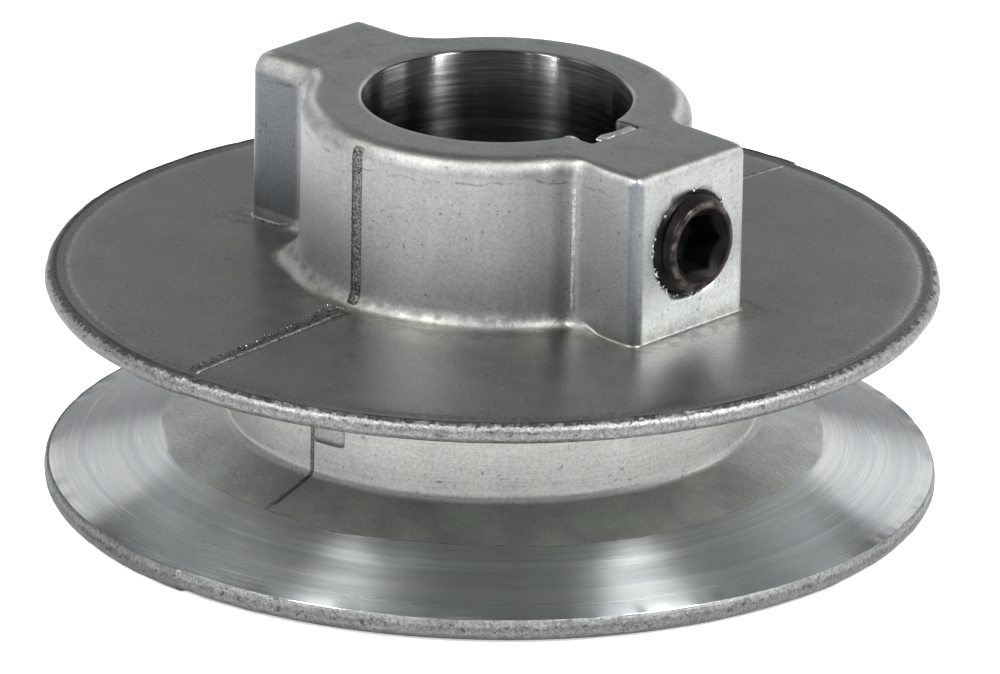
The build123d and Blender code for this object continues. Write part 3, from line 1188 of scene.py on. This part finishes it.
def black_oxide():
    """Black oxide, rubbed to brownish grey on the lip of the socket, and painted near black inside
    it as shade.
    """
    s = Surface("black_oxide")
    height = s.minus(s.z, screw_height)
    from_axis = s.length(s.node("ShaderNodeCombineXYZ", {"Y": s.y, "Z": height}).outputs[0])
    outside_socket = s.between(from_axis, 2.4, 2.6)
    grain = s.noise(0.25, seed=4)
    blotch = s.noise(0.9, seed=2)
    worn = s.times(
        s.band(from_axis, 3.1, 0.45),
        s.between(s.x, screw_end - 0.25, screw_end - 0.05),
        s.between(blotch, 0.35, 0.6),
    )
    colour = s.mix(worn, (0.011, 0.009, 0.009), (0.10, 0.08, 0.075))
    colour = s.mix(s.between(grain, 0.66, 0.72), colour, (0.06, 0.05, 0.045))
    # painted shade: inside the socket the colour is near black and the metal dull
    colour = s.mix(outside_socket, (0.002, 0.0015, 0.0015), colour)
    roughness = s.mix(outside_socket, 0.55, s.vary(blotch, 0.32, 0.45))
    normal = s.bump(s.plus(grain, blotch), 0.02)
    metallic = s.times(outside_socket, 0.6)
    return s.finish(s.metal(colour, roughness, normal, metallic, Specular_IOR_Level=0.15))


# ---------------------------------------------------------------- build

body = casting()
cutter = tapped_hole_cutter()
cut = body.modifiers.new("tapped_hole", "BOOLEAN")
cut.operation = "DIFFERENCE"
cut.solver = "EXACT"
cut.object = cutter
bpy.context.view_layer.objects.active = body
bpy.ops.object.modifier_apply(modifier=cut.name)
bpy.data.objects.remove(cutter)
for material in (cast_skin(), groove_metal(), bored_metal(), rim_metal()):
    body.data.materials.append(material)
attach(body, "pulley")
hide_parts("pulley_body")

seam_metal = cast_skin("seam_zinc", 0.45, 4.0, 0.6)
# the neck's flash line is made very dark, as painted shade of a groove
neck_seam_shade_metal = cast_skin("neck_seam_shade_zinc", 0.32, 3.0, 0.3)
pad_metal = cast_skin("pad_zinc", 0.72, 1.5, 0.1)
ridge_metal = cast_skin("ridge_zinc", 1.25, 3.0, 0.3)
chip_metal = bright_chip()
details = {
    seam_metal: [hub_seam(), crumbs("seam_crumbs", seam_places(380, 5), 0.08, 5), foot_crumbs()],
    neck_seam_shade_metal: [neck_seam()],
    pad_metal: [gate_witness()],
    ridge_metal: [web_seam(), far_web_seam()] + [root_ridge(number) for number in (1, 2, 3, 4)],
    chip_metal: [
        keyway_burr(),
        keyway_chip(),
        crumbs("seam_chips", seam_places(16, 6), 0.05, 6),
        thread_crumbs(),
    ],
}
for material, pieces in details.items():
    for piece in pieces:
        piece.data.materials.append(material)
        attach(piece, "pulley")

screw = set_screw()
screw.data.materials.append(black_oxide())
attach(screw, "screw")
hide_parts("set_screw")


# ---------------------------------------------------------------- studio

def lit_paper():
    """White paper lit a little from below, so that it stays white round the pulley."""
    material = bpy.data.materials.new("lit_paper")
    material.use_nodes = True
    shader = material.node_tree.nodes["Principled BSDF"]
    shader.inputs["Base Color"].default_value = (0.9, 0.9, 0.9, 1)
    shader.inputs["Roughness"].default_value = 0.9
    shader.inputs["Emission Color"].default_value = (1, 1, 1, 1)
    shader.inputs["Emission Strength"].default_value = 0.55
    return material


bpy.ops.mesh.primitive_plane_add(size=6.0, location=(0, 0, 0))
floor = bpy.context.object
floor.name = "floor"
floor.data.materials.append(lit_paper())

world = bpy.data.worlds.new("studio")
bpy.context.scene.world = world
world.use_nodes = True
sky = world.node_tree
seen_from = sky.nodes.new("ShaderNodeTexCoord").outputs["Generated"]
level = sky.nodes.new("ShaderNodeSeparateXYZ")
fade = sky.nodes.new("ShaderNodeMapRange")
fade.interpolation_type = "SMOOTHSTEP"
for name, value in {"From Min": 0.35, "From Max": 0.65, "To Min": 0.42, "To Max": 0.16}.items():
    fade.inputs[name].default_value = value
sky.links.new(seen_from, level.inputs["Vector"])
sky.links.new(level.outputs["Z"], fade.inputs["Value"])
sky.links.new(fade.outputs["Result"], sky.nodes["Background"].inputs["Strength"])
sky.nodes["Background"].inputs["Color"].default_value = (0.95, 0.98, 1.0, 1)

# The camera, set up as the photograph was taken
view_turn = math.radians(43.3)
view_height = math.radians(20.58)
view_roll = math.radians(0.957)
view_distance = 1.0
frame_width = 71.22            # mm across the frame, at the pulley
sensor_width = 36
aim_height = 0.9               # the point that the frame's centre is measured from, in mm
aim_right, aim_up = 0.647, 9.301
to_camera = Vector((
    math.sin(view_turn) * math.cos(view_height),
    -math.cos(view_turn) * math.cos(view_height),
    math.sin(view_height),
))
level_right = Vector((math.cos(view_turn), math.sin(view_turn), 0))
level_up = to_camera.cross(level_right)
right = level_right * math.cos(view_roll) + level_up * math.sin(view_roll)
up = level_up * math.cos(view_roll) - level_right * math.sin(view_roll)
aim = (Vector((0, 0, aim_height)) + right * aim_right + up * aim_up) * MM
camera_data = bpy.data.cameras.new("camera")
camera = bpy.data.objects.new("camera", camera_data)
bpy.context.scene.collection.objects.link(camera)
camera.matrix_world = Matrix.Translation(aim + to_camera * view_distance) @ Matrix(
    (right, up, to_camera)
).transposed().to_4x4()
camera_data.sensor_width = sensor_width
camera_data.lens = sensor_width * view_distance / (frame_width * MM)
camera_data.clip_end = 20
bpy.context.scene.camera = camera


def softbox(name, turn, height, distance, size, power):
    """A soft light aimed at the pulley.

    It stands at a turn, in degrees to the right of the camera, and at a height in degrees. The
    distance and the size are in metres, and the power is in watts.
    """
    a = view_turn + math.radians(turn)
    e = math.radians(height)
    away = Vector((math.sin(a) * math.cos(e), -math.cos(a) * math.cos(e), math.sin(e)))
    data = bpy.data.lights.new(name, "AREA")
    data.shape = "RECTANGLE"
    data.size, data.size_y = size
    data.energy = power
    obj = bpy.data.objects.new(name, data)
    bpy.context.scene.collection.objects.link(obj)
    middle = Vector((0, 0, 0.015))
    obj.location = middle + away * distance
    obj.rotation_euler = away.to_track_quat("Z", "Y").to_euler()


softbox("right_box", 57, 47, 0.8, (0.08, 0.42), 8.0)
softbox("left_box", -54, 47, 0.8, (0.035, 0.4), 4.8)
softbox("left_card", -33, 50, 0.8, (0.03, 0.2), 0.5)
softbox("left_fill", -95, 47, 0.8, (0.25, 0.3), 0.7)
softbox("right_fill", 100, 22, 0.9, (0.4, 0.25), 1.2)
softbox("back_right", 155, 20, 0.9, (0.4, 0.34), 0.6)
softbox("back_left", -152, 20, 0.9, (0.4, 0.34), 0.5)

bpy.context.scene.view_settings.view_transform = "Standard"
